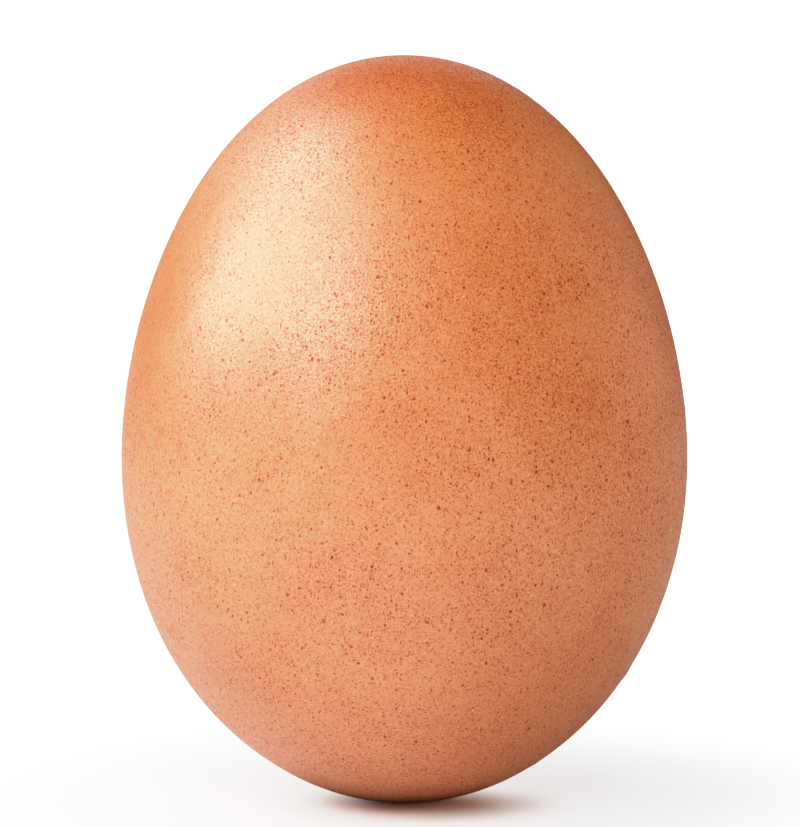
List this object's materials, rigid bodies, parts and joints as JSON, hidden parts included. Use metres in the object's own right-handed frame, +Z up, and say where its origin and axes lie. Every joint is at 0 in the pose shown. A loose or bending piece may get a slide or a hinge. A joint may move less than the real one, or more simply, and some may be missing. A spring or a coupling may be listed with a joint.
{
  "type": "egg",
  "caption": "Whole brown speckled hen's egg that stands upright on a small flat spot at its blunt end.",
  "frame": {"origin": "centre of the flat spot at the blunt end, which rests on the surface", "axes": "+Z up along the long axis, towards the pointed end; the form is round about Z"},
  "size_m": [0.0432, 0.0432, 0.057],
  "materials": {
    "shell": "satin brown eggshell with fine dark red-brown speckles"
  },
  "bodies": {
    "root": {"egg": "shell"}
  },
  "joints": []
}
